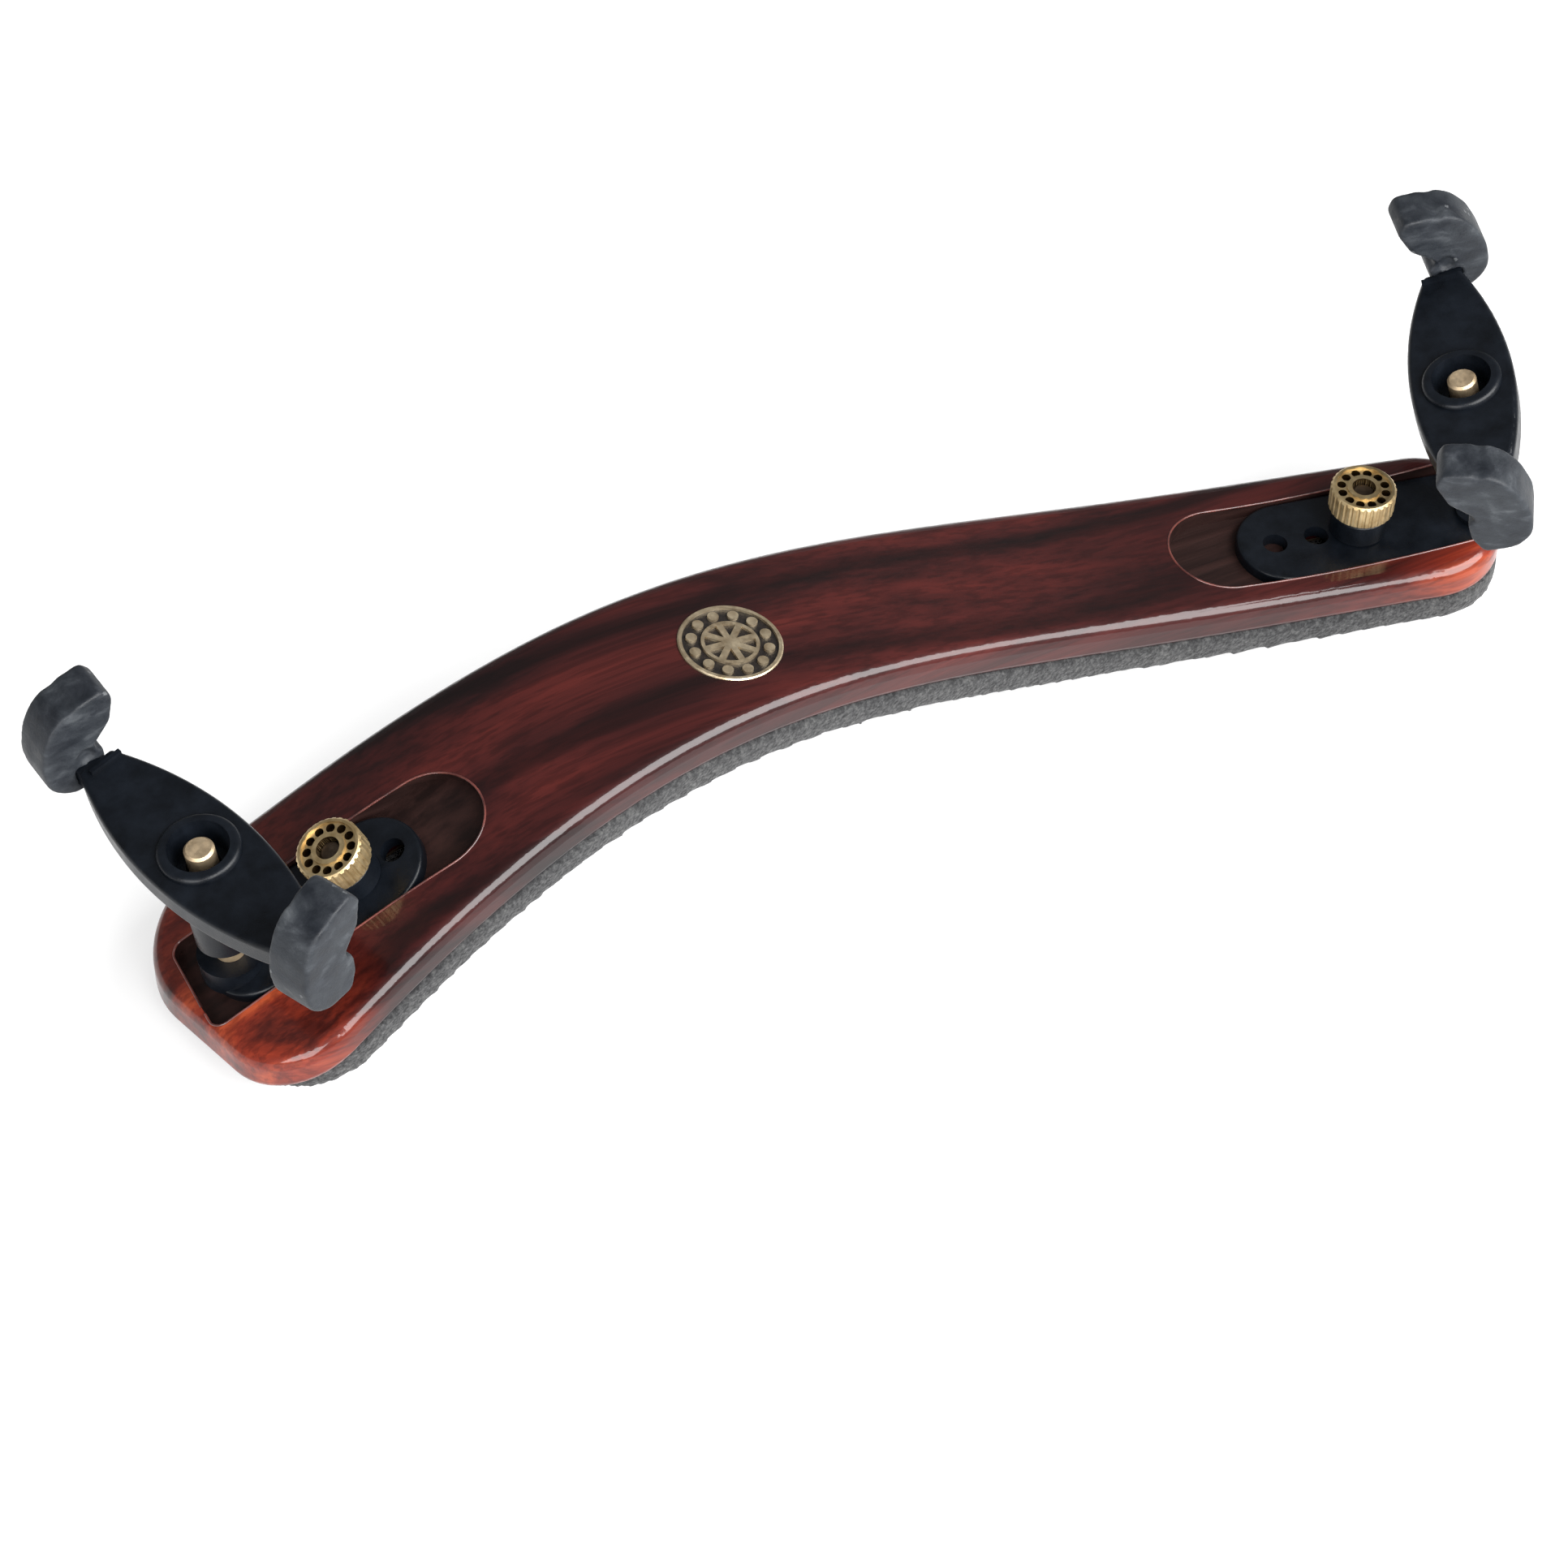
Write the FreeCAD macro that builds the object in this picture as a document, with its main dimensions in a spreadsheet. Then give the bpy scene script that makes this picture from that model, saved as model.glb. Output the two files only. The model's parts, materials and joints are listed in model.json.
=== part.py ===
import FreeCAD, Part
import math
import os
import Sketcher
from FreeCAD import Placement, Rotation, Vector

# Violin shoulder rest.  Millimetres, +Z up, the rest standing on its foam pad.
# X runs along the bar, from the wide (left) end to the narrow (right) end, and
# Y runs across it, from the hollow (near) edge to the bulging (far) edge.

doc = FreeCAD.newDocument("violin_shoulder_rest")
X_AXIS = Vector(1, 0, 0)
Y_AXIS = Vector(0, 1, 0)
Z_AXIS = Vector(0, 0, 1)

# ---------------------------------------------------------------- dimensions
DIMENSIONS = [
    # bar and pad
    ("wood_thick", 6.4, "thickness of the wooden bar"),
    ("wood_round", 2.6, "rounding of the bar's upper edge"),
    ("wood_under_round", 1.2, "rounding of the bar's lower edge"),
    ("foam_left_inset", 4.5, "how far the pad ends short of the bar's left end"),
    ("foam_thick", 5.0, "thickness of the sponge pad"),
    ("left_near_round", 14.0, "plan corner, left end, near edge"),
    ("left_far_round", 17.0, "plan corner, left end, far edge"),
    ("right_near_round", 13.0, "plan corner, right end, near edge"),
    ("right_far_round", 13.0, "plan corner, right end, far edge"),
    # channels
    ("channel_width", 19.0, "width of the channel each end plate lies in"),
    ("channel_corner", 2.5, "corner of a channel's square outer end"),
    ("slot_width", 4.7, "slot through the bar for the clamp stud"),
    ("web_thick", 0.9, "wood left between channel floor and stud groove"),
    ("groove_width", 9.4, "groove under the bar for the stud's head"),
    # end plates
    ("plate_thick", 2.3, "end plate"),
    ("plate_width", 18.4, "end plate"),
    ("plate_edge", 0.7, "rounding of the end plate's upper edge"),
    ("hole_radius", 2.15, "stud holes in the end plate"),
    ("hole_pitch", 7.6, "distance between stud holes"),
    ("plate_tail", 5.0, "leg axis to the plate's outer end"),
    ("boss_radius", 5.6, "boss at the foot of the leg screw"),
    ("boss_height", 2.6, "boss above the plate, on the leg axis"),
    ("leg_lean", 16.0, "degrees the leg leans inward from square"),
    # clamp
    ("stud_radius", 2.0, "clamp stud"),
    ("stud_head_radius", 4.3, "flat head of the clamp stud"),
    ("stud_head_thick", 1.0, "flat head of the clamp stud"),
    ("rail_thick", 0.6, "slotted steel strip above the stud's head"),
    ("rail_width", 8.8, "slotted steel strip"),
    ("collar_radius", 4.9, "collar under the nut"),
    ("collar_height", 5.2, "collar under the nut"),
    ("nut_radius", 5.7, "knurled nut"),
    ("nut_height", 4.8, "knurled nut"),
    ("nut_bore", 2.05, "bore of the nut over the stud"),
    ("nut_ring_radius", 2.9, "inner ring on the nut's face"),
    ("nut_rim", 0.85, "width of the nut's outer rim"),
    ("nut_recess", 0.5, "depth of the ring-shaped recess in the nut's face"),
    ("nut_dimple", 0.78, "radius of the round pockets in that recess"),
    ("dimple_depth", 1.7, "depth of the round pockets below the nut's face"),
    ("nut_dimples", 12, "count of the round pockets"),
    ("nut_flutes", 30, "count of the flutes on the nut's edge"),
    ("flute_radius", 0.35, "flute on the nut's edge"),
    # leg
    ("leg_radius", 2.5, "leg screw"),
    ("leg_foot", 1.4, "how far the leg screw is sunk below the plate's top"),
    ("leg_end_rise", 0.6, "leg screw's end above the fork's top face"),
    ("bush_radius", 3.6, "threaded bush in the fork's hub"),
    ("bush_bore", 2.55, "threaded bush"),
    ("bush_length", 8.0, "threaded bush"),
    # fork
    ("fork_half_width", 9.0, "fork at its middle"),
    ("fork_arc", 66.0, "radius of the fork's long edges"),
    ("fork_thick", 5.0, "fork"),
    ("fork_edge", 1.0, "rounding of the fork's edges"),
    ("fork_reach", 26.3, "leg axis to the end of the fork's blade"),
    ("tongue_reach", 33.2, "leg axis to the tip of the fork's tongue"),
    ("tongue_width", 4.6, "tongue inside the boot"),
    ("tongue_thick", 3.5, "tongue inside the boot"),
    ("tongue_outer", 3.4, "outer side of the tongue from the fork's middle line"),
    ("tongue_low", 1.0, "tongue's lower face above the fork's"),
    ("prong_thick", 3.5, "upright prong inside the boot"),
    ("prong_outer", 4.6, "outer side of the prong from the fork's middle line"),
    ("prong_start", 2.0, "end of the fork's blade to the prong"),
    ("prong_height", 7.0, "upright prong above the fork's top face"),
    ("hub_radius", 4.9, "hub under the fork"),
    ("hub_flare", 7.6, "hub where it meets the fork"),
    ("hub_flare_height", 6.0, "height of the flare"),
    ("rim_radius", 6.9, "raised rim round the well"),
    ("rim_height", 1.1, "raised rim round the well"),
    ("well_radius", 4.8, "well in the fork's middle"),
    ("well_depth", 4.0, "well below the fork's top face"),
    ("hub_bore", 2.9, "bore of the hub over the leg screw"),
    # boots
    ("boot_length", 8.0, "boot along the fork"),
    ("boot_gap", 0.6, "end of the fork's blade to the boot, on the middle line"),
    ("boot_toe", 9.0, "degrees each boot is turned towards the middle of the instrument"),
    ("boot_dome", 7.0, "rounding of the boot's bulging outer side"),
    ("boot_heel", 4.5, "rounding of the boot's lower outer side"),
    ("boot_lip", 1.3, "rounding of the boot's lip and foot"),
    ("boot_crease", 0.45, "rounding of the boot's small ridges and creases"),
    ("boot_round", 0.4, "rounding round the boot's two end faces"),
    ("notch_radius", 1.5, "round notch in the boot's face over the fork's neck"),
    ("notch_length", 3.0, "round notch, of which the boot holds about half"),
    ("latch_reach", 24.9, "leg axis to the latch rib across the fork's neck"),
    ("latch_length", 6.0, "latch rib"),
    ("latch_width", 0.8, "latch rib"),
    ("latch_height", 0.6, "latch rib above the fork's top face"),
    # medallion
    ("medal_radius", 8.8, "medallion"),
    ("medal_rim", 0.75, "width of the medallion's rim"),
    ("medal_thick", 1.2, "medallion"),
    ("medal_sink", 1.0, "depth of the medallion's seat at its middle"),
    ("medal_disc_thick", 0.7, "dark disc inside the rim"),
    ("medal_inner", 4.9, "inner ring of the medallion"),
    ("petal_radius", 0.95, "petals round the medallion"),
    ("petals", 12, "count of petals"),
    ("ring_width", 0.6, "hoop round the rosette"),
    ("ray_width", 1.1, "rays of the rosette"),
    ("pin_radius", 0.6, "pins that hold the medallion"),
    ("pin_length", 2.2, "pins that hold the medallion"),
]
sheet = doc.addObject("Spreadsheet::Sheet", "dimensions")
for row, (alias, value, note) in enumerate(DIMENSIONS, start=1):
    sheet.set("A%d" % row, alias)
    sheet.set("B%d" % row, str(value))
    sheet.set("C%d" % row, note)
    sheet.setAlias("B%d" % row, alias)
doc.recompute()


def size(alias):
    """The number in the sheet under this alias."""
    return float(getattr(sheet, alias))


def cell(formula):
    """A formula whose plain words are turned into references to the sheet."""
    words = sorted((alias for alias, value, note in DIMENSIONS), key=len, reverse=True)
    text, place = "", 0
    while place < len(formula):
        found = next((w for w in words if formula.startswith(w, place)), None)
        text += "dimensions." + found if found else formula[place]
        place += len(found) if found else 1
    return text


# ------------------------------------------------------------------- helpers
def origin_plane(body, role):
    """One of a body's own origin planes, such as XY_Plane."""
    return next(f for f in body.Origin.OriginFeatures if f.Role == role)


def new_sketch(body, name, role):
    """An empty sketch on one of the body's origin planes."""
    drawing = body.newObject("Sketcher::SketchObject", name)
    drawing.AttachmentSupport = [(origin_plane(body, role), "")]
    drawing.MapMode = "FlatFace"
    return drawing


def place_point(drawing, edge, end, across, upward):
    """Tie a point of a sketch to formulas for its two coordinates."""
    for kind, formula in (("DistanceX", across), ("DistanceY", upward)):
        index = drawing.addConstraint(Sketcher.Constraint(kind, -1, 1, edge, end, 0.0))
        drawing.setExpression("Constraints[%d]" % index, cell(formula))


def polygon(drawing, corners):
    """A closed outline whose corners are pairs of formulas."""
    spots = [Vector(math.cos(i), math.sin(i), 0) for i in range(len(corners))]
    for i, (across, upward) in enumerate(corners):
        drawing.addGeometry(Part.LineSegment(spots[i], spots[(i + 1) % len(corners)]))
    for i in range(len(corners)):
        following = (i + 1) % len(corners)
        drawing.addConstraint(Sketcher.Constraint("Coincident", i, 2, following, 1))
    for i, (across, upward) in enumerate(corners):
        place_point(drawing, i, 1, across, upward)


def circle(drawing, across, upward, radius):
    """A circle whose centre and radius are formulas."""
    index = drawing.addGeometry(Part.Circle(Vector(1, 1, 0), Z_AXIS, 1.0))
    place_point(drawing, index, 3, across, upward)
    ring = drawing.addConstraint(Sketcher.Constraint("Radius", index, 1.0))
    drawing.setExpression("Constraints[%d]" % ring, cell(radius))


def new_body(label):
    body = doc.addObject("PartDesign::Body", label)
    body.Label = label
    return body


def pad(body, drawing, length, reverse=False):
    """Pad a sketch by a formula."""
    feature = body.newObject("PartDesign::Pad", "Pad")
    feature.Profile = drawing
    feature.Reversed = reverse
    feature.setExpression("Length", cell(length))
    doc.recompute()
    return feature


def pocket(body, drawing, reverse=False, depth=None):
    """Pocket a sketch right through, or to a formula's depth."""
    before = body.Shape.Volume
    feature = body.newObject("PartDesign::Pocket", "Pocket")
    feature.Profile = drawing
    feature.Reversed = reverse
    if depth:
        feature.setExpression("Length", cell(depth))
    else:
        feature.Type = 1
    doc.recompute()
    if feature.Shape.Volume > before - 1e-3:
        raise RuntimeError(body.Label + ": a pocket cut nothing")
    return feature


def lathe(label, corners):
    """A turned piece: corners are (radius, height) formulas, turned about Z."""
    body = new_body(label)
    drawing = new_sketch(body, "Section", "XZ_Plane")
    polygon(drawing, corners)
    turned = body.newObject("PartDesign::Revolution", "Turned")
    turned.Profile = drawing
    turned.ReferenceAxis = (drawing, ["V_Axis"])
    turned.Angle = 360
    doc.recompute()
    return body


def repeat_round(body, feature, count):
    """Repeat a feature round the body's Z axis."""
    pattern = body.newObject("PartDesign::PolarPattern", "Repeat")
    pattern.Originals = [feature]
    pattern.Axis = (next(f for f in body.Origin.OriginFeatures if f.Role == "Z_Axis"), [""])
    pattern.Angle = 360
    pattern.setExpression("Occurrences", cell(count))
    body.Tip = pattern
    doc.recompute()


def solid(kind, name, **formulas):
    """A Part primitive whose sizes are formulas."""
    item = doc.addObject("Part::" + kind, name)
    for name_of, formula in formulas.items():
        item.setExpression(name_of, cell(formula))
    return item


def shift(item, x="0", y="0", z="0"):
    """Place an item by formulas."""
    for axis, formula in (("x", x), ("y", y), ("z", z)):
        item.setExpression("Placement.Base." + axis, cell(formula + " + 0"))
    return item


def combine(kind, name, base, tools):
    """A Part boolean of one base and one or more tools."""
    if kind == "Cut":
        result = base
        for number, tool in enumerate(tools):
            cut = doc.addObject("Part::Cut", "%s_%d" % (name, number))
            cut.Base, cut.Tool = result, tool
            result = cut
        return result
    result = doc.addObject("Part::Multi" + kind, name)
    result.Shapes = [base] + tools
    return result


def round_edges(name, item, rule, radius):
    """A Part fillet on every edge that passes a test."""
    doc.recompute()
    rounded = doc.addObject("Part::Fillet", name)
    rounded.Base = item
    rounded.Edges = [
        (i, size(radius), size(radius))
        for i, e in enumerate(item.Shape.Edges, start=1)
        if rule(e)
    ]
    return rounded


# ------------------------------------------------------- the bar's two curves
# The bar seen from the near side: heights of its upper face along X.
CREST = [
    (-140, -29.4), (-121, -23.3), (-104, -15.7), (-84, -6.6), (-65, -0.2), (-39, 4.0),
    (-13, 2.5), (13, -3.2), (39, -10.5), (65, -16.7), (91, -19.9), (110, -20.2), (140, -18.4),
]
# The bar seen from above: its near and far edges.
NEAR_EDGE = [(-112.5, -23.2), (-78, -14.8), (-39, -6.6), (0, -0.8), (45, 0.7), (91, -4.2), (124.5, -13.0)]
FAR_EDGE = [(129.5, 16.0), (104, 24.0), (65, 31.1), (26, 33.0), (-26, 30.8), (-78, 27.5), (-125.6, 27.6)]

crest = Part.BSplineCurve()
crest.interpolate([Vector(x, 0, z) for x, z in CREST])


def crest_at(x):
    """Point and unit normal of the bar's upper face at this X."""
    cut = crest.intersectCC(Part.Line(Vector(x, 0, -200), Vector(x, 0, 200)))[0]
    where = crest.parameter(Vector(cut.X, cut.Y, cut.Z))
    along = crest.tangent(where)[0]
    return Vector(cut.X, 0, cut.Z), Vector(-along.z, 0, along.x)


def below_crest(depth):
    """The crest's curve moved down through the bar by a depth, square to it."""
    spots = []
    for i in range(41):
        where = crest.FirstParameter + (crest.LastParameter - crest.FirstParameter) * i / 40
        along = crest.tangent(where)[0]
        spots.append(crest.value(where) - Vector(-along.z, 0, along.x) * depth)
    curve = Part.BSplineCurve()
    curve.interpolate(spots)
    return curve


def layer(name, upper, lower):
    """A slab between two depths below the crest, wider than the bar."""
    top, bottom = (crest if upper == 0 else below_crest(upper)), below_crest(lower)
    ends = [
        Part.LineSegment(bottom.StartPoint, top.StartPoint).toShape(),
        Part.LineSegment(top.EndPoint, bottom.EndPoint).toShape(),
    ]
    outline = doc.addObject("Part::Feature", name + "_outline")
    outline.Shape = Part.Wire(Part.__sortEdges__([top.toShape(), bottom.toShape()] + ends))
    slab = doc.addObject("Part::Extrusion", name)
    slab.Base = outline
    slab.Dir = Y_AXIS
    slab.LengthFwd = 60
    slab.LengthRev = 60
    slab.Solid = True
    return slab


def plan(name, left_inset=0.0):
    """The bar's outline seen from above, as a tall column with round corners."""
    near, far = Part.BSplineCurve(), Part.BSplineCurve()
    near.interpolate([Vector(x, y, -80) for x, y in NEAR_EDGE])
    far.interpolate([Vector(x, y, -80) for x, y in FAR_EDGE])
    if left_inset:
        start = near.parameter(near.StartPoint + Vector(left_inset, 0, 0))
        near.segment(start, near.LastParameter)
        end = far.parameter(far.EndPoint + Vector(left_inset, 0, 0))
        far.segment(far.FirstParameter, end)
    corners = {
        "left_near_round": near.StartPoint,
        "right_near_round": near.EndPoint,
        "right_far_round": far.StartPoint,
        "left_far_round": far.EndPoint,
    }
    edges = [
        near.toShape(),
        Part.LineSegment(near.EndPoint, far.StartPoint).toShape(),
        far.toShape(),
        Part.LineSegment(far.EndPoint, near.StartPoint).toShape(),
    ]
    outline = doc.addObject("Part::Feature", name + "_outline")
    outline.Shape = Part.Wire(edges)
    column = doc.addObject("Part::Extrusion", name + "_column")
    column.Base = outline
    column.Dir = Z_AXIS
    column.LengthFwd = 160
    column.Solid = True
    doc.recompute()
    rounded = doc.addObject("Part::Fillet", name)
    rounded.Base = column
    chosen = []
    for i, edge in enumerate(column.Shape.Edges, start=1):
        for alias, corner in corners.items():
            middle = edge.CenterOfMass
            if edge.Length > 100 and math.hypot(middle.x - corner.x, middle.y - corner.y) < 0.1:
                chosen.append((i, size(alias), size(alias)))
    rounded.Edges = chosen
    return rounded


# --------------------------------------------------------- frames of each side
# u points outward along a channel, v across it, w up out of its floor.  Each
# frame's origin lies on the channel's floor, under the clamp nut.
#   nut: where the clamp nut stands.  yaw, slope: the channel's direction and rise.
#   sunk: depth of its floor below the crest.  inner, outer: the channel's two ends.
#   inward, outward: the two ends of the stud's slot, measured to its round centres.
#   free_holes: open holes inward of the nut.  first_hole: the plate beyond the last one.
#   leg, leg_across: where the leg stands.  bank: degrees it leans across the bar.
#   fork_above, hub_above: the fork's top face and the hub's lower end above the plate.
#   fork_turn: degrees the fork is turned about its leg.
SIDES = {
    "left": {
        "nut": (-86.9, 4.8), "yaw": 180.0, "slope": -22.6, "sunk": 3.4, "inner": 24.4,
        "outer": 31.8, "inward": 9.0, "outward": 3.2, "free_holes": 1, "first_hole": 4.6,
        "leg": 23.4, "leg_across": 0.0, "bank": 0.0, "fork_above": 29.0, "hub_above": 7.0,
        "fork_turn": 16.0,
    },
    "right": {
        "nut": (102.9, 8.2), "yaw": -10.0, "slope": -2.5, "sunk": 2.9, "inner": 34.5,
        "outer": 41.6, "inward": 11.0, "outward": 8.0, "free_holes": 2, "first_hole": 6.6,
        "leg": 24.0, "leg_across": -1.9, "bank": 3.4, "fork_above": 33.0, "hub_above": 8.0,
        "fork_turn": -14.0,
    },
}


def channel_frame(side):
    """Placement whose axes are u, v and w of this side's channel."""
    x, y = side["nut"]
    top, normal = crest_at(x)
    tilt = Rotation(Z_AXIS, side["yaw"]).multiply(Rotation(Y_AXIS, -side["slope"]))
    return Placement(Vector(x, y, top.z - side["sunk"]), tilt)


def local(frame, x=0.0, y=0.0, z=0.0, rotation=None):
    """A placement given in another placement's own axes."""
    return frame.multiply(Placement(Vector(x, y, z), rotation or Rotation()))


def leg_frame(side):
    """Placement at the plate's top under the leg, its Z axis along the leg."""
    lean = Rotation(Y_AXIS, -size("leg_lean")).multiply(Rotation(X_AXIS, -side["bank"]))
    return local(channel_frame(side), side["leg"], side["leg_across"], size("plate_thick"), lean)


def fork_frame(side):
    """Placement at the middle of the fork's top face, +X towards the bar's middle."""
    facing = Rotation(Z_AXIS, 180 + side["fork_turn"])
    return local(leg_frame(side), 0, 0, side["fork_above"], facing)


def slot_solid(name, start, end, width, bottom, height, square_end=False):
    """An upright slot along X from start to end, its ends half round or one square."""
    radius = width + " / 2"
    box = solid("Box", name + "_box", Length="%g" % (end - start), Width=width, Height=height)
    shift(box, x="%g" % start, y="-(%s)" % radius, z=bottom)
    pieces = []
    for number, spot in enumerate([start] if square_end else [start, end]):
        post = solid("Cylinder", "%s_end%d" % (name, number), Radius=radius, Height=height)
        pieces.append(shift(post, x="%g" % spot, z=bottom))
    slot = combine("Fuse", name, box, pieces)
    if square_end:
        def upright_corner(edge):
            middle = edge.CenterOfMass
            return abs(middle.x - end) < 0.01 and abs(edge.tangentAt(edge.FirstParameter).z) > 0.9
        return round_edges(name + "_corners", slot, upright_corner, "channel_corner")
    return slot


PARTS = {}


def keep(item, label, placement=None):
    """Name a finished piece and put it in its place."""
    item.Label = label
    if placement:
        item.Placement = placement
    PARTS[label] = item
    return item


# ------------------------------------------------------------ bar and foam pad
def on_crest(edge, depth):
    """True if an edge of the bar's outline lies at this depth below the crest."""
    middle = edge.valueAt((edge.FirstParameter + edge.LastParameter) / 2)
    top, normal = crest_at(middle.x)
    ends = [v.Point for v in edge.Vertexes]
    flat = all(abs((p - crest_at(p.x)[0]).dot(crest_at(p.x)[1]) + depth) < 0.3 for p in ends)
    return flat and abs((middle - top).dot(normal) + depth) < 0.3


def make_bar():
    blank = combine("Common", "bar_blank", layer("wood", 0, size("wood_thick")), [plan("bar_plan")])
    shaped = round_edges("bar_top", blank, lambda e: on_crest(e, 0), "wood_round")
    depth = size("wood_thick")
    shaped = round_edges("bar_under", shaped, lambda e: on_crest(e, depth), "wood_under_round")
    cutters = []
    for name, side in SIDES.items():
        frame = channel_frame(side)
        room = size("channel_width") / 2
        channel = slot_solid(
            name + "_channel", room - side["inner"], side["outer"], "channel_width", "0", "12",
            square_end=True,
        )
        slot = slot_solid(
            name + "_slot", -side["inward"], side["outward"], "slot_width", "-12", "14"
        )
        groove = slot_solid(
            name + "_groove", -side["inward"], side["outward"], "groove_width",
            "-12", "12 - web_thick",
        )
        for cutter in (channel, slot, groove):
            cutter.Placement = frame
            cutters.append(cutter)
    seat = solid("Cylinder", "medallion_seat", Radius="medal_radius + 0.05", Height="6")
    seat.Placement = local(medallion_frame(), 0, 0, -size("medal_sink"))
    cutters.append(seat)
    for number, pin_place in enumerate(medallion_pins()):
        hole = solid("Cylinder", "pin_hole%d" % number, Radius="pin_radius", Height="pin_length + 1")
        hole.Placement = pin_place
        cutters.append(hole)
    keep(combine("Cut", "bar", shaped, cutters), "base_bar")


def make_foam():
    wood, foam = size("wood_thick"), size("foam_thick")
    column = plan("foam_plan", size("foam_left_inset"))
    keep(combine("Common", "foam", layer("sponge", wood, wood + foam), [column]), "foam_pad")


# ------------------------------------------------------------------- medallion
MEDALLION = (-15.8, 13.3)


def medallion_frame():
    """Placement on the bar's upper face, Z square to it."""
    top, normal = crest_at(MEDALLION[0])
    tilt = math.degrees(math.atan2(normal.x, normal.z))
    return Placement(Vector(top.x, MEDALLION[1], top.z), Rotation(Y_AXIS, tilt))


def medallion_pins():
    """Where the two pins behind the medallion start."""
    depth = -size("medal_sink") - size("pin_length")
    spread = size("medal_inner")
    return [local(medallion_frame(), x, 0, depth) for x in (-spread, spread)]


def make_medallion():
    seat = local(medallion_frame(), 0, 0, -size("medal_sink"))
    inside = "medal_radius - medal_rim"
    rim = lathe("medallion_rim", [
        (inside, "0 * medal_rim"), ("medal_radius", "0 * medal_rim"),
        ("medal_radius", "medal_thick - 0.2"), ("medal_radius - 0.2", "medal_thick"),
        (inside, "medal_thick"),
    ])
    keep(rim, "medallion_rim", seat)
    disc = solid("Cylinder", "disc", Radius=inside, Height="medal_disc_thick")
    keep(disc, "medallion_disc", seat)
    high = "medal_thick - medal_disc_thick"
    pieces = []
    for number in range(int(size("petals"))):
        turn = 360.0 * number / size("petals")
        petal = solid("Cylinder", "petal%d" % number, Radius="petal_radius", Height=high)
        out = (size("medal_inner") + size("medal_radius") - size("medal_rim")) / 2
        angle = math.radians(turn)
        petal.Placement = Placement(Vector(out * math.cos(angle), out * math.sin(angle), 0), Rotation())
        pieces.append(petal)
    ring = solid("Cylinder", "inner_disc", Radius="medal_inner", Height=high)
    bored = solid("Cylinder", "inner_hole", Radius="medal_inner - ring_width", Height=high)
    hoop = combine("Cut", "inner_ring", ring, [bored])
    star = []
    for number in range(4):
        ray = solid("Box", "ray%d" % number, Length="2 * medal_inner - ring_width", Width="ray_width",
                    Height=high)
        turn = Rotation(Z_AXIS, 45.0 * number)
        corner = turn.multVec(Vector(size("ring_width") / 2 - size("medal_inner"), -size("ray_width") / 2, 0))
        ray.Placement = Placement(corner, turn)
        star.append(ray)
    rosette = combine("Fuse", "rosette", hoop, star)
    keep(rosette, "medallion_rosette", local(seat, 0, 0, size("medal_disc_thick")))
    blossom = combine("Fuse", "blossom", pieces[0], pieces[1:])
    keep(blossom, "medallion_petals", local(seat, 0, 0, size("medal_disc_thick")))
    pins = []
    for number, pin_place in enumerate(medallion_pins()):
        pin = solid("Cylinder", "pin%d" % number, Radius="pin_radius", Height="pin_length")
        pin.Placement = pin_place
        pins.append(pin)
    keep(combine("Fuse", "pins", pins[0], pins[1:]), "medallion_pins")


# ------------------------------------------------------- end plates and clamps
def make_plate(name, side):
    frame = channel_frame(side)
    half = size("plate_width") / 2
    inner = -(side["first_hole"] + side["free_holes"] * size("hole_pitch"))
    outer = side["leg"] + size("plate_tail")
    slab = slot_solid(name + "_slab", inner + half, outer - half, "plate_width", "0", "plate_thick")
    top = size("plate_thick")

    def upper_edge(edge):
        return abs(edge.BoundBox.ZMin - top) < 0.01 and abs(edge.BoundBox.ZMax - top) < 0.01

    slab = round_edges(name + "_slab_round", slab, upper_edge, "plate_edge")
    leg = frame.inverse().multiply(leg_frame(side))
    boss = solid("Cylinder", name + "_boss", Radius="boss_radius", Height="boss_height + 2")
    boss.Placement = local(leg, 0, 0, -2.0)
    trim = solid("Box", name + "_trim", Length="60", Width="60", Height="10")
    trim.Placement = Placement(Vector(-10, -30, -10), Rotation())
    plate = combine("Fuse", name + "_plate_blank", slab, [boss])
    tools = [trim]
    for number in range(side["free_holes"] + 1):
        hole = solid("Cylinder", "%s_hole%d" % (name, number), Radius="hole_radius",
                     Height="plate_thick + 2")
        tools.append(shift(hole, x="-%d * hole_pitch" % number, z="-1"))
    bore = solid("Cylinder", name + "_leg_bore", Radius="leg_radius", Height="20")
    bore.Placement = local(leg, 0, 0, -size("leg_foot"))
    tools.append(bore)
    keep(combine("Cut", name + "_plate", plate, tools), "end_plate_" + name, frame)


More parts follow.
